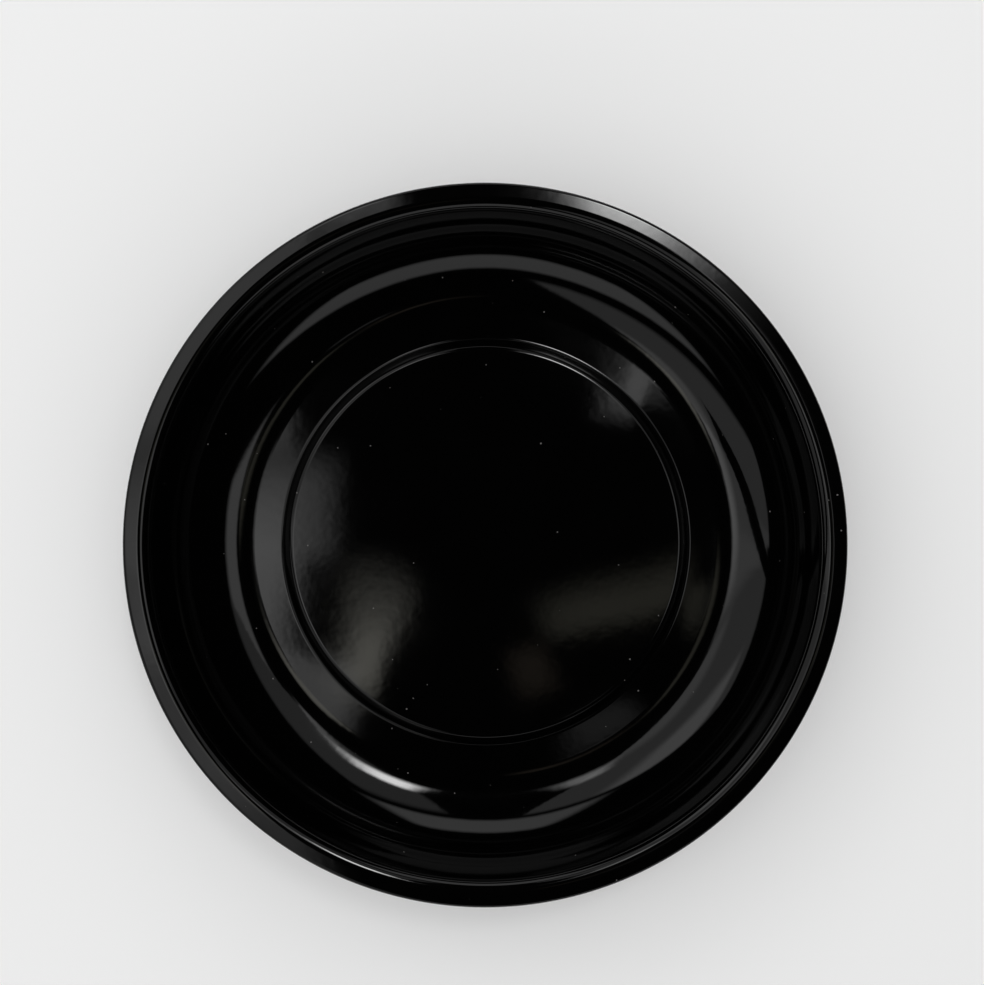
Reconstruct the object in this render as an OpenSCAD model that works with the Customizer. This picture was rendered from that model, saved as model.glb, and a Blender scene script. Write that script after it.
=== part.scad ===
// Magnetic pin bowl: a shallow dish pressed from enamelled sheet steel, with a folded rim and a
// raised disc in its floor. A moulded base under the disc holds a ring magnet on a steel washer.
// Millimetres, +Z up. The origin is on the axis, on the surface that the bowl stands on.

/* [Bowl] */
// Diameter over the rim
rim_d = 149; // [125:1:170]
// Depth from the top of the rim to the floor around the raised disc
bowl_depth = 19.6; // [18:0.1:26]
// Thickness of the enamelled sheet
sheet_t = 0.7; // [0.5:0.05:0.85]
// Angle of the wall, measured from the floor
wall_angle = 74; // [68:1:78]
// Width of the rim, from its outer edge to the line of the wall
rim_w = 5; // [4.6:0.1:6]
// Radius of the bend between the rim and the wall, on the upper face
rim_bend_r = 2.7; // [1.5:0.1:3]
// Radius of the bend between the wall and the floor, on the upper face
floor_bend_r = 17.7; // [10:0.1:18]

/* [Folded edge] */
// Width of the strip that is folded back under the rim
hem_w = 2.9; // [2:0.1:3]
// Gap that is left inside the fold
hem_gap = 0.2; // [0.1:0.05:0.4]

/* [Raised disc] */
// Width of the raised disc outside the magnet, up to the disc's upper edge
disc_margin = 7.5; // [6:0.1:9]
// Height of the raised disc above the floor around it
disc_h = 1.5; // [1:0.1:2]
// Width of the slope round the raised disc
disc_slope_w = 2; // [1.5:0.1:2.5]
// Radius of the disc's upper edge
disc_edge_r = 1.6; // [1:0.1:2]
// Radius at the foot of the slope
disc_foot_r = 1.2; // [0.8:0.1:1.6]

/* [Magnet] */
// Outer diameter of the ring magnet
magnet_d = 70; // [60:1:84]
// Bore of the ring magnet
magnet_bore_d = 32; // [26:1:38]
// Thickness of the ring magnet
magnet_t = 6; // [5:0.5:10]
// Thickness of the steel washer under the magnet
washer_t = 1.2; // [0.8:0.1:2]
// Gap round the magnet and the washer in the base
magnet_gap = 0.3; // [0.2:0.05:0.5]

/* [Base] */
// Gap between the edge of the recess under the disc and the top of the base
base_gap = 0.7; // [0.5:0.1:1]
// Wall thickness of the moulded base
base_wall_t = 1.8; // [1.4:0.1:2.4]
// Slope of the base's side, from upright
base_draft = 9; // [2:0.5:12]
// Radius of the base's lower edge
base_edge_r = 2.6; // [1:0.1:3]
// Thickness of the base's floor
base_floor_t = 1.8; // [1.6:0.1:2.6]
// Number of ribs between the base's side and the magnet
outer_ribs = 12; // [6:1:18]
// Number of spokes in the hub that fills the magnet's bore
hub_spokes = 6; // [3:1:8]
// Thickness of the ribs, the spokes and the hub's wall
rib_t = 1.4; // [1:0.1:1.8]

/* [Foam tape] */
// Thickness of the tape ring that bonds the magnet and the base to the dish
tape_t = 0.8; // [0.5:0.1:1.2]
// Inner diameter of the tape ring
tape_bore_d = 24; // [18:1:26]

/* [Foot] */
// Width of the base's flat underside that is left outside the foot
foot_margin = 2.6; // [1.5:0.1:4]
// Width of the rubber foot
foot_w = 13; // [10:0.5:18]
// Thickness of the rubber foot
foot_t = 1.4; // [1.2:0.1:1.6]
// How far the foot stands out of the base
foot_proud = 0.6; // [0.4:0.1:0.8]
// Gap round the foot in its pocket
foot_gap = 0.2; // [0.1:0.05:0.3]
// Number of round grooves in the foot's sole
foot_grooves = 4; // [0:1:4]
// Depth of each groove
groove_h = 0.35; // [0.2:0.05:0.5]
// Width of each groove
groove_w = 0.9; // [0.6:0.1:1.2]

/* [Hidden] */
$fn = 180;

enamel_black = [0.03, 0.03, 0.035];
plastic_black = [0.09, 0.09, 0.095];
ferrite_grey = [0.22, 0.22, 0.23];
zinc_grey = [0.72, 0.73, 0.74];
foam_white = [0.9, 0.9, 0.87];
rubber_grey = [0.14, 0.14, 0.145];

// Heights, stacked from the surface up
base_z = foot_proud;
washer_z = base_z + base_floor_t;
magnet_z = washer_z + washer_t;
tape_z = magnet_z + magnet_t;
disc_under_z = tape_z + tape_t;
disc_z = disc_under_z + sheet_t;
floor_z = disc_z - disc_h;
rim_z = floor_z + bowl_depth;

// Radii of the dish
rim_r = rim_d / 2;
wall_top_r = rim_r - rim_w;
wall_foot_r = wall_top_r - bowl_depth / tan(wall_angle);
disc_r = magnet_d / 2 + disc_margin;
disc_foot_line_r = disc_r + disc_slope_w;
disc_turn = atan2(disc_h, disc_slope_w);

// The bend at the foot of the wall is held back where it would leave no flat floor round the disc
least_flat = 1;
floor_flat_room = wall_foot_r - disc_foot_line_r - disc_foot_r * tan(disc_turn / 2) - least_flat;
floor_turn_r = min(floor_bend_r, floor_flat_room / tan(wall_angle / 2));

// Radius at which the flat under the disc ends and the sheet begins to bend down
recess_r = disc_r - disc_edge_r * tan(disc_turn / 2);

// Radii of the base
base_top_r = recess_r - base_gap;
base_h = tape_z - base_z;
base_foot_line_r = base_top_r - base_h * tan(base_draft);
seat_r = magnet_d / 2 + magnet_gap;
hub_r = magnet_bore_d / 2 - magnet_gap;
base_flat_r = base_foot_line_r - base_edge_r * tan((90 - base_draft) / 2);
foot_r = base_flat_r - foot_margin;
foot_bore_r = foot_r - foot_w;
foot_pocket_h = foot_t - foot_proud;

// How far a rib runs into the wall that it grows from
rib_root = 0.4;

// How much a bend's circle reaches past the straights that it meets, so that they always cross
skin = 0.0003;

function unit(v) = v / norm(v);
function left_of(v) = [-v.y, v.x];
function way_to(line, i) = unit(line[i] - line[(i + len(line) - 1) % len(line)]);
function way_from(line, i) = unit(line[(i + 1) % len(line)] - line[i]);
function turn_at(line, i) =
    let (u = way_to(line, i), v = way_from(line, i)) atan2(u.x * v.y - u.y * v.x, u * v);

// Where the bend that rounds a corner begins, its centre and where it ends
function bend_points(line, r, i) =
    let (
        turn = turn_at(line, i),
        run = r * tan(abs(turn) / 2),
        start = line[i] - run * way_to(line, i)
    )
    [
        start,
        start + sign(turn) * r * left_of(way_to(line, i)),
        line[i] + run * way_from(line, i)
    ];

// The slice of a bend's circle that lies between its two straights, lapping over both
module bend_slice(line, r, i) {
    centre = bend_points(line, r, i)[1];
    turn = turn_at(line, i);
    spoke = -sign(turn) * left_of(way_to(line, i));
    lap = 2 * acos(r / (r + skin));
    from = atan2(spoke.y, spoke.x) - sign(turn) * lap;
    sweep = turn + 2 * sign(turn) * lap;
    translate(centre) intersection() {
        circle(r + skin);
        polygon([
            [0, 0],
            for (step = [0, 0.5, 1])
                2 * r * [cos(from + step * sweep), sin(from + step * sweep)]
        ]);
    }
}

// Region inside a closed line of corners that runs anticlockwise, each rounded by its own radius
module rounded_region(line, radii) {
    rounded = [for (i = [0:len(line) - 1]) if (radii[i] > 0) i];
    difference() {
        union() {
            polygon([
                for (i = [0:len(line) - 1])
                    each radii[i] > 0 ? bend_points(line, radii[i], i) : [line[i]]
            ]);
            for (i = rounded) if (turn_at(line, i) > 0) bend_slice(line, radii[i], i);
        }
        for (i = rounded) if (turn_at(line, i) < 0) bend_slice(line, radii[i], i);
    }
}

// Line of the back of a sheet, which lies to the left of the line of its face
function back_line(line, t) = [
    for (i = [0:len(line) - 1])
        let (
            side_in = left_of(i > 0 ? way_to(line, i) : way_from(line, i)),
            side_out = left_of(i < len(line) - 1 ? way_from(line, i) : way_to(line, i)),
            mitre = unit(side_in + side_out)
        )
        line[i] + t / (mitre * side_in) * mitre
];
function back_radii(line, radii, t) = [
    for (i = [0:len(line) - 1])
        radii[i] > 0 ? max(0, radii[i] - sign(turn_at(line, i)) * t) : 0
];

// Section of a sheet. Both its face and its back are closed by further corners, and the sheet is
// what lies behind its face and not behind its back.
module sheet_section(line, radii, t, close_face, close_back) {
    sharp = [for (p = concat(close_face, close_back)) 0];
    difference() {
        rounded_region(concat(line, close_face), concat(radii, sharp));
        rounded_region(
            concat(back_line(line, t), close_back),
            concat(back_radii(line, radii, t), sharp)
        );
    }
}

// Flat ring, standing on the plane z = 0
module flat_ring(outer_d, bore_d, h) {
    linear_extrude(h) difference() {
        circle(d = outer_d);
        circle(d = bore_d);
    }
}

// The line runs from the free edge of the fold, out and round the rim's edge, in over the rim,
// down the wall, across the floor and up over the raised disc to the axis.
module bowl() {
    hem_z = rim_z - 2 * sheet_t - hem_gap;
    hem_end_r = rim_r - hem_w;
    line = [
        [hem_end_r, hem_z],
        [rim_r, hem_z],
        [rim_r, rim_z],
        [wall_top_r, rim_z],
        [wall_foot_r, floor_z],
        [disc_foot_line_r, floor_z],
        [disc_r, disc_z],
        [0, disc_z]
    ];
    radii = [0, sheet_t, sheet_t, rim_bend_r, floor_turn_r, disc_foot_r, disc_edge_r, 0];
    color(enamel_black) rotate_extrude()
        sheet_section(
            line,
            radii,
            sheet_t,
            close_face = [[0, 0], [wall_top_r, 0]],
            close_back = [[0, -sheet_t], [hem_end_r, -sheet_t]]
        );
}

// Ribs that stand on the base's floor and centre the magnet and its washer, with the open hub
// and its spokes inside the bore.
module base_ribs() {
    floor_in = base_z + base_floor_t - rib_root;
    h = tape_z - floor_in;
    translate([0, 0, floor_in]) {
        flat_ring(2 * hub_r, 2 * (hub_r - rib_t), h);
        for (i = [0:hub_spokes - 1])
            rotate(i * 360 / hub_spokes)
                translate([0, -rib_t / 2, 0])
                    cube([hub_r - rib_t + rib_root, rib_t, h]);
        intersection() {
            for (i = [0:outer_ribs - 1])
                rotate(i * 360 / outer_ribs)
                    translate([seat_r, -rib_t / 2, 0])
                        cube([base_top_r, rib_t, h]);
            cylinder(h = h, r1 = rib_tip_r(floor_in), r2 = rib_tip_r(tape_z));
        }
    }
}

// Radius inside the base's sloping wall at which a rib ends, at a height
function rib_tip_r(z) =
    base_foot_line_r + (z - base_z) * tan(base_draft) - base_wall_t / cos(base_draft) + rib_root;

module base_cup() {
    line = [[0, base_z], [base_foot_line_r, base_z], [base_top_r, tape_z]];
    color(plastic_black) difference() {
        union() {
            rotate_extrude()
                sheet_section(
                    line,
                    [0, base_edge_r, 0],
                    base_wall_t,
                    close_face = [[0, tape_z]],
                    close_back = [[0, tape_z + base_wall_t]]
                );
            base_ribs();
        }
        translate([0, 0, base_z])
            flat_ring(2 * (foot_r + foot_gap), 2 * (foot_bore_r - foot_gap), foot_pocket_h);
    }
}

module ring_magnet() {
    color(ferrite_grey) translate([0, 0, magnet_z])
        flat_ring(magnet_d, magnet_bore_d, magnet_t);
}

module steel_washer() {
    color(zinc_grey) translate([0, 0, washer_z])
        flat_ring(magnet_d, magnet_bore_d, washer_t);
}

module tape_ring() {
    color(foam_white) translate([0, 0, tape_z])
        flat_ring(2 * (base_top_r - base_wall_t / 2), tape_bore_d, tape_t);
}

module rubber_foot() {
    spacing = foot_w / (foot_grooves + 1);
    color(rubber_grey) difference() {
        flat_ring(2 * foot_r, 2 * foot_bore_r, foot_t);
        for (i = [1:1:foot_grooves]) {
            groove_d = 2 * (foot_bore_r + i * spacing);
            flat_ring(groove_d + groove_w, groove_d - groove_w, groove_h);
        }
    }
}

bowl();
base_cup();
ring_magnet();
steel_washer();
tape_ring();
rubber_foot();
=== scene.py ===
import math
import bpy
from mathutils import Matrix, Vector


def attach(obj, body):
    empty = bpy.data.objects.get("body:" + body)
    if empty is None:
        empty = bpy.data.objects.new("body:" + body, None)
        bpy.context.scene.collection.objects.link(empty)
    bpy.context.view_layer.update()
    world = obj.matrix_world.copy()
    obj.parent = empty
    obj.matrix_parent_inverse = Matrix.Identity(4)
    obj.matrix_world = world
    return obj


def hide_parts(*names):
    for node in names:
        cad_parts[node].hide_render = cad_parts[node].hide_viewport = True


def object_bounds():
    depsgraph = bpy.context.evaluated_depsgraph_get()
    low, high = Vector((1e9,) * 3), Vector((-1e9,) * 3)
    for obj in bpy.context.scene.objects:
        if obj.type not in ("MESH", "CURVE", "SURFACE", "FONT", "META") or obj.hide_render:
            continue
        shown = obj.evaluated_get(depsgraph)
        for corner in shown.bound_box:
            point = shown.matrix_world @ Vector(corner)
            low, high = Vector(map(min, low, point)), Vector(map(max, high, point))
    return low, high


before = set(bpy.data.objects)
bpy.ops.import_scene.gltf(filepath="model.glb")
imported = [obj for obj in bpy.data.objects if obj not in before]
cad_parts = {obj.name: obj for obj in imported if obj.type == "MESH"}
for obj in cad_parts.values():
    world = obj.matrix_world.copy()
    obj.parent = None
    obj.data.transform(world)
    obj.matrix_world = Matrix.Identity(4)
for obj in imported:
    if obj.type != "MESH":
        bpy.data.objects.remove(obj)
cadLow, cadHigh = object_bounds()
mm = 0.001
print("frame loaded:", len(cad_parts), "nodes")


# camera, above the dish and a little off its axis
cameraSetup = {
    "sensor": 36,
    "lens": 51.68,
    "nearest": 0.01,
    "offAxis": (0.0014, 0.0108),
    "aboveRim": 0.290,
}


def placeCamera(setup):
    bpy.ops.object.camera_add(
        location=(*setup["offAxis"], cadHigh.z + setup["aboveRim"]), rotation=(0, 0, 0))
    camera = bpy.context.object
    camera.name = "photoCamera"
    camera.data.sensor_width = setup["sensor"]
    camera.data.lens = setup["lens"]
    camera.data.clip_start = setup["nearest"]
    bpy.context.scene.camera = camera


bpy.ops.object.select_all(action="DESELECT")
placeCamera(cameraSetup)
bpy.context.scene.view_settings.view_transform = "Standard"
print("camera placed")


# shader helpers
def newMaterial(name):
    material = bpy.data.materials.new(name)
    material.use_nodes = True
    tree = material.node_tree
    return material, tree, tree.nodes["Principled BSDF"]


def addNode(tree, kind, settings=None, **inputs):
    # an input is set, or linked where a socket is given; s0, s1 and so on are sockets by number
    made = tree.nodes.new(kind)
    for key, value in (settings or {}).items():
        setattr(made, key, value)
    for key, value in inputs.items():
        numbered = key[0] == "s" and key[1:].isdigit()
        socket = made.inputs[int(key[1:]) if numbered else key]
        if isinstance(value, bpy.types.NodeSocket):
            tree.links.new(value, socket)
        else:
            socket.default_value = value
    return made


def doMath(tree, operation, *values, clamp=False):
    numbered = {f"s{i}": value for i, value in enumerate(values)}
    made = addNode(tree, "ShaderNodeMath", {"operation": operation, "use_clamp": clamp}, **numbered)
    return made.outputs[0]


def spread(tree, value, low, high, toLow, toHigh, curve="LINEAR"):
    # value from low..high is spread over toLow..toHigh, and stops there
    made = addNode(tree, "ShaderNodeMapRange", {"interpolation_type": curve},
                   s0=value, s1=low, s2=high, s3=toLow, s4=toHigh)
    return made.outputs[0]


def mixColour(tree, share, first, second):
    made = tree.nodes.new("ShaderNodeMix")
    made.data_type = "RGBA"
    for socket, value in ((0, share), (6, first), (7, second)):
        if isinstance(value, bpy.types.NodeSocket):
            tree.links.new(value, made.inputs[socket])
        else:
            made.inputs[socket].default_value = value
    return made.outputs[2]


def grey(level, warm=0.0):
    return (level * (1 + warm), level, level * (1 - warm), 1)


def newGroup(name, inputs, outputs):
    group = bpy.data.node_groups.new(name, "ShaderNodeTree")
    for label, default in inputs:
        socket = group.interface.new_socket(
            name=label, in_out="INPUT", socket_type="NodeSocketFloat")
        socket.default_value = default
    for label in outputs:
        group.interface.new_socket(name=label, in_out="OUTPUT", socket_type="NodeSocketFloat")
    given = group.nodes.new("NodeGroupInput").outputs
    return group, given, group.nodes.new("NodeGroupOutput").inputs


def placeInSteps(tree, size):
    # object coordinates, with the given size as their unit
    place = addNode(tree, "ShaderNodeTexCoord").outputs["Object"]
    scaled = addNode(tree, "ShaderNodeVectorMath", {"operation": "SCALE"}, s0=place)
    tree.links.new(doMath(tree, "DIVIDE", 1.0, size), scaled.inputs["Scale"])
    return scaled.outputs[0]


def makeGrainGroup():
    # soft noise of one size: its pattern from 0 to 1, and its height in metres
    group, given, out = newGroup(
        "surfaceGrain", [("Size", 0.001), ("Depth", 0.00001), ("Detail", 1.0)],
        ["Pattern", "Height"])
    noise = addNode(group, "ShaderNodeTexNoise", {"noise_dimensions": "3D"},
                    Vector=placeInSteps(group, given["Size"]), Scale=1.0, Detail=given["Detail"])
    group.links.new(noise.outputs["Fac"], out["Pattern"])
    middle = doMath(group, "SUBTRACT", noise.outputs["Fac"], 0.5)
    group.links.new(doMath(group, "MULTIPLY", middle, given["Depth"]), out["Height"])
    return group


def makeDustGroup():
    # a few round specks: one in each cell, and only the chosen share of the cells has one
    group, given, out = newGroup(
        "dustSpecks", [("Spacing", 0.004), ("Share", 0.2), ("Radius", 0.0001)], ["Mask"])
    cells = addNode(group, "ShaderNodeTexVoronoi", {"feature": "F1"},
                    Vector=placeInSteps(group, given["Spacing"]), Scale=1.0)
    chance = addNode(group, "ShaderNodeSeparateColor", s0=cells.outputs["Color"])
    chosen = doMath(group, "LESS_THAN", chance.outputs[0], given["Share"])
    # from 0.4 to 1.4 times the radius, by chance
    reach = doMath(group, "DIVIDE", given["Radius"], given["Spacing"])
    sized = doMath(group, "MULTIPLY", reach, doMath(group, "ADD", chance.outputs[1], 0.4))
    fromMiddle = doMath(group, "DIVIDE", cells.outputs["Distance"], sized)
    inside = doMath(group, "SUBTRACT", 1.0, fromMiddle, clamp=True)
    sharp = doMath(group, "MULTIPLY", inside, 3.0, clamp=True)
    group.links.new(doMath(group, "MULTIPLY", chosen, sharp), out["Mask"])
    return group


grainGroup = makeGrainGroup()
dustGroup = makeDustGroup()
noiseLow, noiseHigh = 0.3, 0.7      # most of a noise pattern lies between these


def addGrain(tree, size, depth, detail):
    return addNode(tree, "ShaderNodeGroup", {"node_tree": grainGroup},
                   Size=size, Depth=depth, Detail=detail)


def addDust(tree, spacing, share, radius):
    return addNode(tree, "ShaderNodeGroup", {"node_tree": dustGroup},
                   Spacing=spacing, Share=share, Radius=radius).outputs["Mask"]


def overPattern(tree, grain, low, high):
    return spread(tree, grain.outputs["Pattern"], noiseLow, noiseHigh, low, high)


def mixTones(tree, grain, tones):
    return mixColour(tree, overPattern(tree, grain, 0.0, 1.0), *(grey(*tone) for tone in tones))


def addRelief(tree, shader, *heights):
    # the heights are in metres and add up
    total = heights[0]
    for height in heights[1:]:
        total = doMath(tree, "ADD", total, height)
    bump = addNode(tree, "ShaderNodeBump", Strength=1.0, Distance=1.0, Height=total)
    tree.links.new(bump.outputs["Normal"], shader.inputs["Normal"])


# finishes
# a grain is its size, depth and detail; dust and pits are their spacing, the share of the
# places that have one, and their radius; a tone is its level and its warmth
enamelFinish = {
    "tone": (0.0006, 0.0),
    "roughness": (0.035, 0.065),
    "haze": (0.012, 0.0, 3.0),              # over which the roughness changes
    "slowWave": (0.030, 0.00042, 0.0),      # unevenness of the pressed sheet
    "orangePeel": (0.0022, 0.0000045, 1.0),
    "dust": (0.0036, 0.75, 0.00016),
    "dustTone": (0.10, 0.04),
    "dustRoughness": 0.6,
}


def makeEnamel(finish):
    material, tree, shader = newMaterial("blackEnamel")
    haze = addGrain(tree, *finish["haze"])
    slow = addGrain(tree, *finish["slowWave"])
    peel = addGrain(tree, *finish["orangePeel"])
    dust = addDust(tree, *finish["dust"])
    colour = mixColour(tree, dust, grey(*finish["tone"]), grey(*finish["dustTone"]))
    tree.links.new(colour, shader.inputs["Base Color"])
    rough = overPattern(tree, haze, *finish["roughness"])
    dustRough = doMath(tree, "MULTIPLY", dust, finish["dustRoughness"])
    rough = doMath(tree, "ADD", rough, dustRough, clamp=True)
    tree.links.new(rough, shader.inputs["Roughness"])
    addRelief(tree, shader, slow.outputs["Height"], peel.outputs["Height"])
    return material


plasticFinish = {
    "tones": ((0.016, 0.0), (0.0216, 0.0)),
    "roughness": (0.36, 0.48),
    "texture": (0.00045, 0.000012, 2.0),
    "cloud": (0.016, 0.0, 2.0),
    "dust": (0.003, 0.16, 0.00012),
    "dustTone": (0.20, 0.03),
}

rubberFinish = {
    "tones": ((0.044, 0.0), (0.066, 0.0)),
    "roughness": (0.68, 0.86),
    "texture": (0.0006, 0.00002, 3.0),
    "cloud": (0.009, 0.0, 3.0),
    "dust": (0.0022, 0.3, 0.00014),
    "dustTone": (0.22, 0.05),
}


def makeDullBlack(name, finish):
    material, tree, shader = newMaterial(name)
    texture = addGrain(tree, *finish["texture"])
    cloud = addGrain(tree, *finish["cloud"])
    dust = addDust(tree, *finish["dust"])
    colour = mixTones(tree, cloud, finish["tones"])
    colour = mixColour(tree, dust, colour, grey(*finish["dustTone"]))
    tree.links.new(colour, shader.inputs["Base Color"])
    tree.links.new(overPattern(tree, cloud, *finish["roughness"]), shader.inputs["Roughness"])
    addRelief(tree, shader, texture.outputs["Height"])
    return material


ferriteFinish = {
    "tones": ((0.032, 0.0), (0.055, 0.03)),
    "roughness": (0.45, 0.68),
    "metallic": 0.25,
    "fine": (0.0008, 0.00003, 4.0),
    "patch": (0.007, 0.0, 4.0),
    "pitsAndShade": (0.0016, 0.25, 0.00022),
    # the darker tone of the pits is painted shade in their hollows
    "pitShadeTone": (0.015, 0.0),
    "pitDepth": 0.00008,
}


def makeFerrite(finish):
    material, tree, shader = newMaterial("sinteredFerrite")
    fine = addGrain(tree, *finish["fine"])
    patch = addGrain(tree, *finish["patch"])
    pitsAndShade = addDust(tree, *finish["pitsAndShade"])
    colour = mixTones(tree, patch, finish["tones"])
    # the pits are real hollows in the relief below, and their darker colour here is painted shade
    colour = mixColour(tree, pitsAndShade, colour, grey(*finish["pitShadeTone"]))
    tree.links.new(colour, shader.inputs["Base Color"])
    tree.links.new(overPattern(tree, fine, *finish["roughness"]), shader.inputs["Roughness"])
    shader.inputs["Metallic"].default_value = finish["metallic"]
    pitHeight = doMath(tree, "MULTIPLY", pitsAndShade, -finish["pitDepth"])
    addRelief(tree, shader, fine.outputs["Height"], pitHeight)
    return material


zincFinish = {
    "colours": ((0.56, 0.58, 0.60, 1), (0.64, 0.63, 0.58, 1)),
    "roughness": (0.24, 0.40),
    "spangle": (0.0035, 0.000004, 3.0),
    "cloud": (0.014, 0.0, 2.0),
}


def makeZinc(finish):
    material, tree, shader = newMaterial("zincPlate")
    spangle = addGrain(tree, *finish["spangle"])
    cloud = addGrain(tree, *finish["cloud"])
    colour = mixColour(tree, overPattern(tree, cloud, 0.0, 1.0), *finish["colours"])
    tree.links.new(colour, shader.inputs["Base Color"])
    shader.inputs["Metallic"].default_value = 1.0
    tree.links.new(overPattern(tree, spangle, *finish["roughness"]), shader.inputs["Roughness"])
    addRelief(tree, shader, spangle.outputs["Height"])
    return material


foamFinish = {
    "tones": ((0.74, 0.01), (0.80, 0.02)),
    "roughness": (0.80, 0.95),
    "cells": (0.0005, 0.00006, 3.0),
    "cloud": (0.01, 0.0, 2.0),
}


def makeFoam(finish):
    material, tree, shader = newMaterial("whiteFoam")
    cells = addGrain(tree, *finish["cells"])
    cloud = addGrain(tree, *finish["cloud"])
    tree.links.new(mixTones(tree, cloud, finish["tones"]), shader.inputs["Base Color"])
    tree.links.new(overPattern(tree, cells, *finish["roughness"]), shader.inputs["Roughness"])
    addRelief(tree, shader, cells.outputs["Height"])
    return material


finishes = {
    "black_enamel": makeEnamel(enamelFinish),
    "base_plastic": makeDullBlack("mouldedPlastic", plasticFinish),
    "foot_rubber": makeDullBlack("footRubber", rubberFinish),
    "ferrite": makeFerrite(ferriteFinish),
    "zinc_steel": makeZinc(zincFinish),
    "foam_tape": makeFoam(foamFinish),
}
print("finishes made:", len(finishes))


# modelling helpers
sameSpot = 0.002 * mm       # points that lie nearer than this are one


def pickOnly(piece):
    bpy.ops.object.select_all(action="DESELECT")
    piece.select_set(True)
    bpy.context.view_layer.objects.active = piece


def startLine(name, start):
    # a plane drawn together to one vertex, at the start of a section
    bpy.ops.object.select_all(action="DESELECT")
    bpy.ops.mesh.primitive_plane_add(size=0.01, location=(0, 0, 0))
    piece = bpy.context.object
    piece.name = name
    bpy.ops.object.mode_set(mode="EDIT")
    bpy.ops.mesh.select_mode(type="VERT")
    bpy.ops.mesh.merge(type="CENTER")
    bpy.ops.transform.translate(value=(start[0] * mm, 0, start[1] * mm))
    return piece


def drawStraight(fromPoint, toPoint, guard=0.15):
    # a short step at each end keeps the flat between two bends flat in its shading
    run = Vector(toPoint) - Vector(fromPoint)
    parts = [1.0]
    if run.length > 4 * guard:
        edge = guard / run.length
        parts = [edge, 1 - 2 * edge, edge]
    for part in parts:
        bpy.ops.mesh.extrude_region_move(
            TRANSFORM_OT_translate={"value": (run.x * part * mm, 0, run.y * part * mm)})


def bendAt(corners, radius, i):
    # where the bend at corner i starts, its centre, its turn, and where it ends
    before, here, after = (Vector(corners[k % len(corners)]) for k in (i - 1, i, i + 1))
    wayIn, wayOut = (here - before).normalized(), (after - here).normalized()
    turn = math.atan2(wayIn.x * wayOut.y - wayIn.y * wayOut.x, wayIn.dot(wayOut))
    run = radius * math.tan(abs(turn) / 2)
    start = here - wayIn * run
    side = Vector((-wayIn.y, wayIn.x)) * math.copysign(radius, turn)
    return start, start + side, turn, here + wayOut * run


def drawSection(name, corners, degreesPerStep=6.0):
    # corners are (radius out, height, bend radius) in mm, the first one sharp, and the line closes
    points = [corner[:2] for corner in corners]
    piece = startLine(name, points[0])
    place = points[0]
    for i in range(1, len(corners)):
        radius = corners[i][2]
        if radius <= 0:
            drawStraight(place, points[i])
            place = points[i]
            continue
        start, centre, turn, end = bendAt(points, radius, i)
        drawStraight(place, start)
        # the wider a bend is, the finer it is drawn
        stepAngle = min(degreesPerStep, 60 / (radius + 4))
        steps = max(3, math.ceil(math.degrees(abs(turn)) / stepAngle))
        bpy.ops.mesh.spin(steps=steps, angle=turn, axis=(0, 1, 0),
                          center=(centre.x * mm, 0, centre.y * mm))
        place = end
    drawStraight(place, points[0])
    bpy.ops.object.mode_set(mode="OBJECT")
    return piece


def turnRound(piece, steps=192):
    bpy.ops.object.mode_set(mode="EDIT")
    bpy.ops.mesh.select_all(action="SELECT")
    bpy.ops.mesh.remove_doubles(threshold=sameSpot)
    bpy.ops.mesh.select_all(action="SELECT")
    bpy.ops.mesh.spin(steps=steps, angle=2 * math.pi, center=(0, 0, 0), axis=(0, 0, 1))
    bpy.ops.mesh.select_all(action="SELECT")
    bpy.ops.mesh.remove_doubles(threshold=sameSpot)
    bpy.ops.mesh.normals_make_consistent(inside=False)
    bpy.ops.object.mode_set(mode="OBJECT")


def finishPiece(piece, slotName, cadNode, smoothAngle=35):
    pickOnly(piece)
    bpy.ops.object.shade_smooth_by_angle(angle=math.radians(smoothAngle))
    piece.data.materials.clear()
    piece.data.materials.append(finishes[slotName])
    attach(piece, "root")
    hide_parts(cadNode)
    print("made", piece.name, "faces:", len(piece.data.polygons))


def backOf(corners, thickness):
    # the back of a sheet lies to the left of its face, bend by bend
    points = [Vector(corner[:2]) for corner in corners]
    back = []
    for i, here in enumerate(points):
        wayIn = (here - points[i - 1]).normalized() if i else (points[1] - here).normalized()
        wayOut = (points[i + 1] - here).normalized() if i < len(points) - 1 else wayIn
        turn = math.atan2(wayIn.x * wayOut.y - wayIn.y * wayOut.x, wayIn.dot(wayOut))
        sideIn, sideOut = Vector((-wayIn.y, wayIn.x)), Vector((-wayOut.y, wayOut.x))
        mitre = (sideIn + sideOut).normalized()
        moved = here + mitre * (thickness / mitre.dot(sideIn))
        radius = corners[i][2] - math.copysign(thickness, turn) if corners[i][2] > 0 else 0
        back.append((moved.x, moved.y, max(0.0, radius)))
    return back


# dish, one pressing with its edge folded under the rim
dish = {
    "rimRadius": 74.5,
    "rimHeight": 29.2,
    "rimWidth": 5.0,
    "rimBend": 2.7,
    "floorHeight": 9.6,
    "floorBend": 17.7,
    "wallAngle": 74,
    "discRadius": 42.5,
    "discHeight": 11.1,
    "discSlope": 2.0,
    "discEdge": 1.6,
    "discFoot": 1.2,
    "sheet": 0.7,
    "fold": 2.9,
    "foldGap": 0.2,
    "steps": 256,
    "smoothAngle": 28,
}


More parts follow.
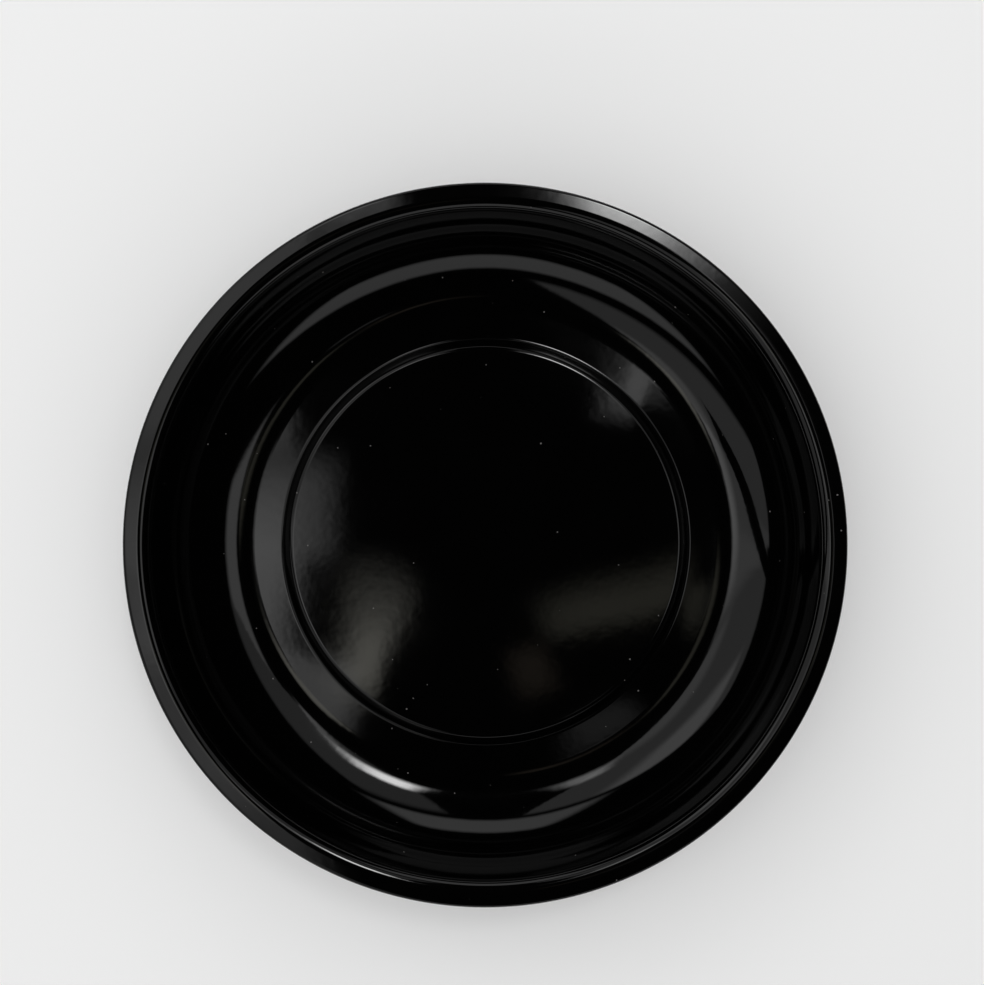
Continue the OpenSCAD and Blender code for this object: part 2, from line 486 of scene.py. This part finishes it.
def makeDish(size):
    wallTop = size["rimRadius"] - size["rimWidth"]
    depth = size["rimHeight"] - size["floorHeight"]
    wallFoot = wallTop - depth / math.tan(math.radians(size["wallAngle"]))
    foldHeight = size["rimHeight"] - 2 * size["sheet"] - size["foldGap"]
    face = [
        (size["rimRadius"] - size["fold"], foldHeight, 0),
        (size["rimRadius"], foldHeight, size["sheet"]),
        (size["rimRadius"], size["rimHeight"], size["sheet"]),
        (wallTop, size["rimHeight"], size["rimBend"]),
        (wallFoot, size["floorHeight"], size["floorBend"]),
        (size["discRadius"] + size["discSlope"], size["floorHeight"], size["discFoot"]),
        (size["discRadius"], size["discHeight"], size["discEdge"]),
        (0, size["discHeight"], 0),
    ]
    back = backOf(face, size["sheet"])
    piece = drawSection("pressedDish", face + back[::-1])
    turnRound(piece, size["steps"])
    finishPiece(piece, "black_enamel", "bowl", size["smoothAngle"])


makeDish(dish)


# moulded base under the raised disc, with ribs that centre the magnet
base = {
    "bottom": 0.6,
    "top": 9.6,
    "footLine": 39.84,          # where the wall would reach the underside without its rounding
    "lowerEdge": 2.6,
    "topRadius": 41.265,
    "topEdge": 0.3,
    "wall": 1.8,
    "draft": 9,
    "floorCorner": 0.8,
    "pocket": (21.82, 35.22, 0.8),      # inner and outer radius and depth of the foot's pocket
    "pocketBends": (0.25, 0.15),        # at its mouth and at its bottom
    "hub": 15.7,
    "boss": 2.4,
    "ribWidth": 1.4,
    "ribEdge": 0.3,
    "ribDrop": 0.2,             # from the wall's top down to the tops of ribs and spokes
    "root": 0.4,                # how deep hub, ribs and spokes are set into floor and wall
    "outerRibs": 12,
    "outerRib": (35.3, 39.4),   # from and to, before the outer end is cut to the wall's lean
    "outerRibFoot": 38.30,      # how far out the cut meets the floor, without the root
    "spokes": 6,
    "ejectorMarks": (6, 13.0, 2.2, 0.12),   # how many, how far out, radius, depth
    "gate": (3.0, 0.35),                    # radius and depth of the dimple
    "stub": (0.8, 0.1, 0.2),    # radius, from the underside up to its end, and how deep it is set
}


def addRib(name, inner, outer, bottom, top, size):
    # a bar along +X with its upper edges rounded
    length, width, height = outer - inner, size["ribWidth"], top - bottom
    bpy.ops.object.select_all(action="DESELECT")
    bpy.ops.mesh.primitive_cube_add(size=1, location=(0, 0, 0))
    rib = bpy.context.object
    rib.name = name
    bpy.ops.object.mode_set(mode="EDIT")
    bpy.ops.transform.resize(value=(length * mm, width * mm, height * mm))
    bpy.ops.transform.translate(value=((inner + length / 2) * mm, 0, (bottom + height / 2) * mm))
    bpy.ops.mesh.select_all(action="DESELECT")
    bpy.ops.object.mode_set(mode="OBJECT")
    half = (bottom + height / 2) * mm
    for edge in rib.data.edges:
        first, second = (rib.data.vertices[k].co for k in edge.vertices)
        lengthwise = abs(first.y - second.y) < width * mm / 2
        edge.select = first.z > half and second.z > half and lengthwise
    bpy.ops.object.mode_set(mode="EDIT")
    bpy.ops.mesh.select_mode(type="EDGE")
    bpy.ops.mesh.bevel(offset=size["ribEdge"] * mm, segments=3, affect="EDGES")
    bpy.ops.mesh.select_mode(type="VERT")
    bpy.ops.object.mode_set(mode="OBJECT")
    return rib


def copyRound(piece, count):
    # copies about the axis, each with its own mesh; the piece itself stays where it is
    copies = []
    for k in range(1, count):
        copy = piece.copy()
        copy.data = piece.data.copy()
        bpy.context.scene.collection.objects.link(copy)
        pickOnly(copy)
        bpy.ops.object.mode_set(mode="EDIT")
        bpy.ops.mesh.select_all(action="SELECT")
        bpy.ops.transform.rotate(value=-k * 2 * math.pi / count, orient_axis="Z",
                                 center_override=(0, 0, 0))
        bpy.ops.object.mode_set(mode="OBJECT")
        copies.append(copy)
    return copies


def addPeg(radius, bottom, top, out=0.0, sides=48):
    # a short round peg with broken edges; its place is in its mesh
    tall = top - bottom
    edge = min(0.06, tall / 4)
    bpy.ops.object.select_all(action="DESELECT")
    bpy.ops.mesh.primitive_cylinder_add(vertices=sides, radius=radius * mm, depth=tall * mm,
                                        location=(0, 0, 0))
    peg = bpy.context.object
    bpy.ops.object.mode_set(mode="EDIT")
    bpy.ops.mesh.bevel(offset=edge * mm, segments=2, affect="EDGES")
    bpy.ops.mesh.select_all(action="SELECT")
    bpy.ops.transform.translate(value=(out * mm, 0, (bottom + top) / 2 * mm))
    bpy.ops.object.mode_set(mode="OBJECT")
    return peg


def combine(piece, other, operation):
    pickOnly(piece)
    blend = piece.modifiers.new("combine", "BOOLEAN")
    blend.operation = operation
    blend.solver = "EXACT"
    blend.object = other
    bpy.ops.object.modifier_apply(modifier="combine")
    bpy.data.objects.remove(other)


def cleanMesh(piece, nearest=0.004):
    # the slivers that a cut leaves behind are drawn together
    pickOnly(piece)
    bpy.ops.object.mode_set(mode="EDIT")
    bpy.ops.mesh.select_all(action="SELECT")
    bpy.ops.mesh.remove_doubles(threshold=nearest * mm)
    bpy.ops.mesh.select_all(action="SELECT")
    bpy.ops.mesh.dissolve_degenerate(threshold=nearest * mm)
    bpy.ops.mesh.select_all(action="SELECT")
    bpy.ops.mesh.normals_make_consistent(inside=False)
    bpy.ops.object.mode_set(mode="OBJECT")


def makeBase(size):
    low, high = size["bottom"], size["top"]
    pocketIn, pocketOut, pocketDepth = size["pocket"]
    mouthBend, bottomBend = size["pocketBends"]
    floorIn = low + size["wall"]
    draft = math.radians(size["draft"])
    wallAcross = size["wall"] / math.cos(draft)
    wallFoot = size["footLine"] + size["wall"] * math.tan(draft) - wallAcross
    body = drawSection("mouldedBase", [
        (0, low, 0),
        (pocketIn, low, mouthBend),
        (pocketIn, low + pocketDepth, bottomBend),
        (pocketOut, low + pocketDepth, bottomBend),
        (pocketOut, low, mouthBend),
        (size["footLine"], low, size["lowerEdge"]),
        (size["topRadius"], high, size["topEdge"]),
        (size["topRadius"] - wallAcross, high, size["topEdge"]),
        (wallFoot, floorIn, size["floorCorner"]),
        (0, floorIn, 0),
    ], degreesPerStep=15)
    turnRound(body)

    # hub, boss, spokes and outer ribs stand in the floor
    root = size["root"]
    start, top = floorIn - root, high - size["ribDrop"]
    hubIn = size["hub"] - size["ribWidth"]
    hub = drawSection("hub", [
        (hubIn, start, 0),
        (size["hub"], start, 0),
        (size["hub"], high, size["topEdge"]),
        (hubIn, high, size["topEdge"]),
    ], degreesPerStep=30)
    turnRound(hub, 96)
    combine(body, hub, "UNION")
    combine(body, addPeg(size["boss"], start, high, sides=32), "UNION")
    spoke = addRib("spoke", size["boss"] / 2, hubIn + root, start, top, size)
    rib = addRib("rib", *size["outerRib"], start, top, size)
    # its outer end leans as the wall does
    bpy.ops.object.mode_set(mode="EDIT")
    bpy.ops.mesh.select_all(action="SELECT")
    bpy.ops.mesh.bisect(plane_co=((size["outerRibFoot"] + root) * mm, 0, floorIn * mm),
                        plane_no=(math.cos(draft), 0, -math.sin(draft)),
                        use_fill=True, clear_outer=True)
    bpy.ops.object.mode_set(mode="OBJECT")
    for bar, count in ((spoke, size["spokes"]), (rib, size["outerRibs"])):
        for each in [*copyRound(bar, count), bar]:
            combine(body, each, "UNION")

    # marks of the mould on the underside: ejector pins round the middle, and the gate in its dimple
    below = low - 0.5
    count, out, radius, markDepth = size["ejectorMarks"]
    mark = addPeg(radius, below, low + markDepth, out)
    for each in [*copyRound(mark, count), mark]:
        combine(body, each, "DIFFERENCE")
    gateRadius, gateDepth = size["gate"]
    combine(body, addPeg(gateRadius, below, low + gateDepth), "DIFFERENCE")
    stubRadius, stubEnd, stubRoot = size["stub"]
    stub = addPeg(stubRadius, low + stubEnd, low + gateDepth + stubRoot, sides=24)
    combine(body, stub, "UNION")
    cleanMesh(body)
    finishPiece(body, "base_plastic", "base_cup")


makeBase(base)


# rubber foot, let into the base, with round grooves in its sole
foot = {
    "inner": 22.02,
    "outer": 35.02,
    "thick": 1.4,
    "soleEdge": 0.2,
    "topEdge": 0.1,
    "grooves": 4,
    "groove": (0.9, 0.35),          # width and depth
    "grooveBends": (0.14, 0.16),    # at its mouth and at its bottom
}


def makeFoot(size):
    spacing = (size["outer"] - size["inner"]) / (size["grooves"] + 1)
    width, depth = size["groove"]
    mouthBend, bottomBend = size["grooveBends"]
    corners = [(size["inner"], size["thick"], 0), (size["inner"], 0, size["soleEdge"])]
    for k in range(1, size["grooves"] + 1):
        middle = size["inner"] + k * spacing
        near, far = middle - width / 2, middle + width / 2
        corners += [(near, 0, mouthBend), (near, depth, bottomBend),
                    (far, depth, bottomBend), (far, 0, mouthBend)]
    corners += [(size["outer"], 0, size["soleEdge"]),
                (size["outer"], size["thick"], size["topEdge"])]
    piece = drawSection("soleRing", corners, degreesPerStep=22.5)
    turnRound(piece)
    finishPiece(piece, "foot_rubber", "rubber_foot")


makeFoot(foot)


# magnet, washer and foam ring, which stand on each other inside the base
stack = {
    # inner and outer radius, bottom, top, bend of the lower and of the upper edges
    "ferriteRing": (16.0, 35.0, 3.6, 9.6, 0.35, 0.35, "ferrite", "ring_magnet"),
    "backingWasher": (16.0, 35.0, 2.4, 3.6, 0.28, 0.06, "zinc_steel", "steel_washer"),
    "tapeRing": (12.0, 40.365, 9.6, 10.4, 0.2, 0.2, "foam_tape", "tape_ring"),
}


def makeRing(name, inner, outer, bottom, top, lowBend, highBend, slotName, cadNode):
    piece = drawSection(name, [
        (inner, (bottom + top) / 2, 0),
        (inner, bottom, lowBend),
        (outer, bottom, lowBend),
        (outer, top, highBend),
        (inner, top, highBend),
    ], degreesPerStep=22.5)
    turnRound(piece)
    finishPiece(piece, slotName, cadNode)


for name, setup in stack.items():
    makeRing(name, *setup)


# softboxes
lampHeight = 1.0        # where one unit sideways is tan(angle)
softboxes = {
    # box is left, right, near and far; soft is how far each of those edges fades, in that order
    # power is how bright the cloth looks, and lift keeps boxes that overlap apart
    "leftLow": {
        "box": (-2.05, -0.118, -0.85, -0.13), "soft": (0.2, 0.04, 0.2, 0.03), "power": 0.45},
    "leftNear": {
        "box": (-2.05, -0.158, -0.16, -0.04), "soft": (0.2, 0.015, 0.03, 0.03), "power": 0.6,
        "lift": -0.002},
    "leftMiddle": {
        "box": (-1.90, -0.13, -0.07, 0.065), "soft": (0.5, 0.035, 0.03, 0.065), "power": 0.75},
    "leftFar": {
        "box": (-1.95, -0.165, 0.00, 1.20), "soft": (0.3, 0.015, 0.065, 0.2), "power": 0.45,
        "lift": -0.002},
    "leftGlow": {
        "box": (-0.38, -0.163, -0.165, 0.035), "soft": (0.17, 0.025, 0.04, 0.09), "power": 0.85,
        "lift": -0.004},
    "leftGlowLow": {
        "box": (-0.36, -0.118, -0.30, -0.118), "soft": (0.15, 0.035, 0.08, 0.03), "power": 0.5,
        "lift": -0.006},
    "leftHigh": {
        "box": (-0.42, -0.165, 0.03, 0.34), "soft": (0.16, 0.02, 0.05, 0.15), "power": 0.35,
        "lift": -0.006},
    "leftTop": {
        "box": (-1.45, -0.42, 0.42, 1.18), "soft": (0.3, 0.25, 0.2, 0.15), "power": 0.65,
        "lift": -0.004},
    "leftPatch": {
        "box": (-0.157, -0.080, -0.195, -0.040), "soft": (0.04, 0.03, 0.05, 0.085), "power": 1.5,
        "turn": -12, "lift": -0.010, "tint": (1.0, 0.98, 0.88)},
    "rightNear": {
        "box": (0.208, 0.60, -0.20, 0.11), "soft": (0.06, 0.14, 0.05, 0.02), "power": 0.9},
    "rightFar": {
        "box": (0.10, 0.62, 0.09, 1.15), "soft": (0.03, 0.10, 0.02, 0.3), "power": 0.36,
        "lift": -0.002},
    "rightStripe": {
        "box": (0.130, 0.175, 0.055, 0.25), "soft": (0.015, 0.015, 0.05, 0.05), "power": 1.0,
        "turn": -25, "lift": -0.014},
    "rightEnd": {
        "box": (0.172, 0.222, -0.130, -0.064), "soft": (0.025, 0.03, 0.03, 0.03), "power": 0.3,
        "lift": -0.010, "tint": (1.03, 1.0, 0.82)},
    "rightPatch": {
        "box": (0.025, 0.200, -0.120, -0.034), "soft": (0.045, 0.05, 0.03, 0.05), "power": 0.33,
        "turn": 17, "lift": -0.012, "tint": (1.03, 1.0, 0.82)},
    "lowPatch": {
        "box": (-0.005, 0.072, -0.190, -0.118), "soft": (0.03, 0.035, 0.03, 0.03), "power": 0.15,
        "turn": 20, "lift": -0.015, "tint": (1.2, 1.0, 0.8)},
    "ringPatch": {
        "box": (0.055, 0.140, -0.235, -0.180), "soft": (0.03, 0.03, 0.02, 0.02), "power": 0.22,
        "turn": 30, "lift": -0.020},
    "farBox": {
        "box": (-0.85, 0.85, 1.25, 3.60), "soft": (0.3, 0.3, 0.25, 1.0), "power": 0.8,
        "lift": 0.05},
    "nearBox": {
        "box": (-1.90, 1.90, -3.60, -1.15), "soft": (0.5, 0.5, 1.0, 0.25), "power": 0.7,
        "lift": 0.05},
    "window": {
        "box": (0.06, 0.25, 0.19, 0.46), "soft": (0.07, 0.08, 0.10, 0.10), "power": 15.0,
        "turn": -25, "lift": -0.025},
    "window2": {
        "box": (-0.24, -0.08, 0.20, 0.46), "soft": (0.07, 0.06, 0.10, 0.10), "power": 2.2,
        "turn": 25, "lift": -0.030},
}


def addSoftbox(name, setup):
    left, right, near, far = (edge * lampHeight for edge in setup["box"])
    width, length = right - left, far - near
    bpy.ops.object.light_add(
        type="AREA",
        location=((left + right) / 2, (near + far) / 2, lampHeight + setup.get("lift", 0)),
        rotation=(0, 0, math.radians(setup.get("turn", 0))))
    lamp = bpy.context.object
    lamp.name = name
    lamp.data.shape = "RECTANGLE"
    lamp.data.size, lamp.data.size_y = width, length
    lamp.data.energy = setup["power"] * math.pi * width * length
    lamp.data.color = setup.get("tint", (1, 1, 1))
    lamp.visible_camera = False
    # the edges fade as they do on a cloth-fronted lamp
    lamp.data.use_nodes = True
    tree = lamp.data.node_tree
    across = addNode(tree, "ShaderNodeSeparateXYZ",
                     s0=addNode(tree, "ShaderNodeNewGeometry").outputs["Parametric"])
    softLeft, softRight, softNear, softFar = setup["soft"]
    fade = 1.0
    for axis, size, softLow, softHigh in (
            (0, width, softLeft, softRight), (1, length, softNear, softFar)):
        place = across.outputs[axis]
        fromOther = doMath(tree, "SUBTRACT", 1.0, place)
        for distance, soft in ((place, softLow), (fromOther, softHigh)):
            edge = spread(tree, distance, 0.0, soft / size, 0.0, 1.0, "SMOOTHSTEP")
            fade = doMath(tree, "MULTIPLY", fade, edge)
    tree.links.new(fade, tree.nodes["Emission"].inputs["Strength"])


for name, setup in softboxes.items():
    addSoftbox(name, setup)


# pale floor that fades out at its edge
floorSetup = {
    "radius": 1.6,
    "fade": (0.5, 1.5),
    "below": 0.0003,        # under the sole, so that the two don't meet
    "tone": 0.9,
    "roughness": 0.9,
    "specular": 0.1,
}


def makeFloor(setup):
    bpy.ops.object.select_all(action="DESELECT")
    bpy.ops.mesh.primitive_circle_add(vertices=96, radius=setup["radius"], fill_type="NGON",
                                      location=(0, 0, -setup["below"]))
    floor = bpy.context.object
    floor.name = "paleFloor"
    material, tree, shader = newMaterial("palePaper")
    shader.inputs["Base Color"].default_value = grey(setup["tone"])
    shader.inputs["Roughness"].default_value = setup["roughness"]
    shader.inputs["Specular IOR Level"].default_value = setup["specular"]
    place = addNode(tree, "ShaderNodeTexCoord").outputs["Object"]
    reach = addNode(tree, "ShaderNodeVectorMath", {"operation": "LENGTH"}, s0=place)
    fade = spread(tree, reach.outputs["Value"], *setup["fade"], 0.0, 1.0, "SMOOTHSTEP")
    # seen from below it is gone, also for the rays that have come up through it
    behind = addNode(tree, "ShaderNodeNewGeometry").outputs["Backfacing"]
    passed = addNode(tree, "ShaderNodeLightPath").outputs["Transparent Depth"]
    gone = doMath(tree, "MAXIMUM", behind, doMath(tree, "GREATER_THAN", passed, 0.5))
    clear = addNode(tree, "ShaderNodeBsdfTransparent")
    through = addNode(tree, "ShaderNodeMixShader", s0=doMath(tree, "MAXIMUM", fade, gone),
                      s1=shader.outputs[0], s2=clear.outputs[0])
    tree.links.new(through.outputs[0], tree.nodes["Material Output"].inputs["Surface"])
    floor.data.materials.append(material)
    return floor


# dark cloths, which only reflections see
def makeDarkCloth(name, fades=()):
    # each fade is an axis, and the places on it where the cloth is full and where it is gone
    material, tree, shader = newMaterial(name)
    tree.nodes.remove(shader)
    black = addNode(tree, "ShaderNodeEmission", Color=grey(0.0), Strength=0.0)
    clear = addNode(tree, "ShaderNodeBsdfTransparent")
    texture = addNode(tree, "ShaderNodeTexCoord")
    place = addNode(tree, "ShaderNodeSeparateXYZ", s0=texture.outputs["Object"])
    thin = 0.0
    for axis, full, gone in fades:
        low, high = sorted((full, gone))
        step = spread(tree, place.outputs[axis], low, high,
                      float(gone < full), float(gone > full), "SMOOTHSTEP")
        thin = doMath(tree, "MAXIMUM", thin, step)
    mixed = addNode(tree, "ShaderNodeMixShader", s0=thin, s1=black.outputs[0], s2=clear.outputs[0])
    tree.links.new(mixed.outputs[0], tree.nodes["Material Output"].inputs["Surface"])
    return material


plainCloth = makeDarkCloth("darkCloth")


def hideFromAllButReflections(piece, cloth):
    piece.data.materials.append(cloth)
    piece.visible_camera = False
    piece.visible_diffuse = False
    piece.visible_transmission = False
    piece.visible_shadow = False


ceilingSetup = {"size": 44, "height": 1.6}


def makeCeiling(setup):
    bpy.ops.object.select_all(action="DESELECT")
    bpy.ops.mesh.primitive_plane_add(size=setup["size"], location=(0, 0, setup["height"]))
    ceiling = bpy.context.object
    ceiling.name = "darkCeiling"
    hideFromAllButReflections(ceiling, plainCloth)
    return ceiling


# a low card that stands close round the right of the rim, and thins out to its ends and its top
cardSetup = {
    "start": (42.7, -62.5, 30.0),
    "tall": 22.0,
    "sweep": 110,
    "steps": 24,
    "endFade": (0.064, 0.044),      # along X
    "topFade": (0.045, 0.052),      # along Z
}


def makeCard(setup):
    out, near, bottom = setup["start"]
    card = startLine("darkCard", (out, bottom))
    bpy.ops.transform.translate(value=(0, near * mm, 0))
    bpy.ops.mesh.extrude_region_move(
        TRANSFORM_OT_translate={"value": (0, 0, setup["tall"] * mm)})
    bpy.ops.mesh.select_all(action="SELECT")
    bpy.ops.mesh.spin(steps=setup["steps"], angle=math.radians(setup["sweep"]),
                      center=(0, 0, 0), axis=(0, 0, -1))
    bpy.ops.object.mode_set(mode="OBJECT")
    fades = ((0, *setup["endFade"]), (2, *setup["topFade"]))
    hideFromAllButReflections(card, makeDarkCloth("darkCardCloth", fades))
    return card


# a strip under the left softboxes, which draws the dark line in the right bend
barSetup = {"start": (-0.355, -0.218), "end": (-2.10, 0.149), "width": 0.13, "drop": 0.04}


def makeBar(setup):
    start, end = Vector(setup["start"]), Vector(setup["end"])
    along, middle = end - start, (start + end) / 2
    bpy.ops.object.select_all(action="DESELECT")
    bpy.ops.mesh.primitive_plane_add(size=1, location=(0, 0, 0))
    bar = bpy.context.object
    bar.name = "darkBar"
    bpy.ops.object.mode_set(mode="EDIT")
    bpy.ops.transform.resize(value=(along.length, setup["width"], 1))
    bpy.ops.transform.rotate(value=-math.atan2(along.y, along.x), orient_axis="Z",
                             center_override=(0, 0, 0))
    bpy.ops.transform.translate(value=(middle.x, middle.y, lampHeight - setup["drop"]))
    bpy.ops.object.mode_set(mode="OBJECT")
    hideFromAllButReflections(bar, plainCloth)
    return bar


# the room, pale where it is seen and a plain fill where it lights
worldSetup = {"fill": 0.60, "seen": 0.95}


def makeWorld(setup):
    world = bpy.data.worlds.new("paleRoom")
    bpy.context.scene.world = world
    world.use_nodes = True
    tree = world.node_tree
    back = tree.nodes["Background"]
    back.inputs["Color"].default_value = grey(1.0)
    rays = addNode(tree, "ShaderNodeLightPath").outputs
    seen = doMath(tree, "MAXIMUM", rays["Is Camera Ray"], rays["Is Glossy Ray"])
    seen = doMath(tree, "MAXIMUM", seen, rays["Is Transmission Ray"])
    strength = spread(tree, seen, 0.0, 1.0, setup["fill"], setup["seen"])
    tree.links.new(strength, back.inputs["Strength"])


makeFloor(floorSetup)
makeCeiling(ceilingSetup)
makeCard(cardSetup)
makeBar(barSetup)
makeWorld(worldSetup)
print("stage and lamps made")
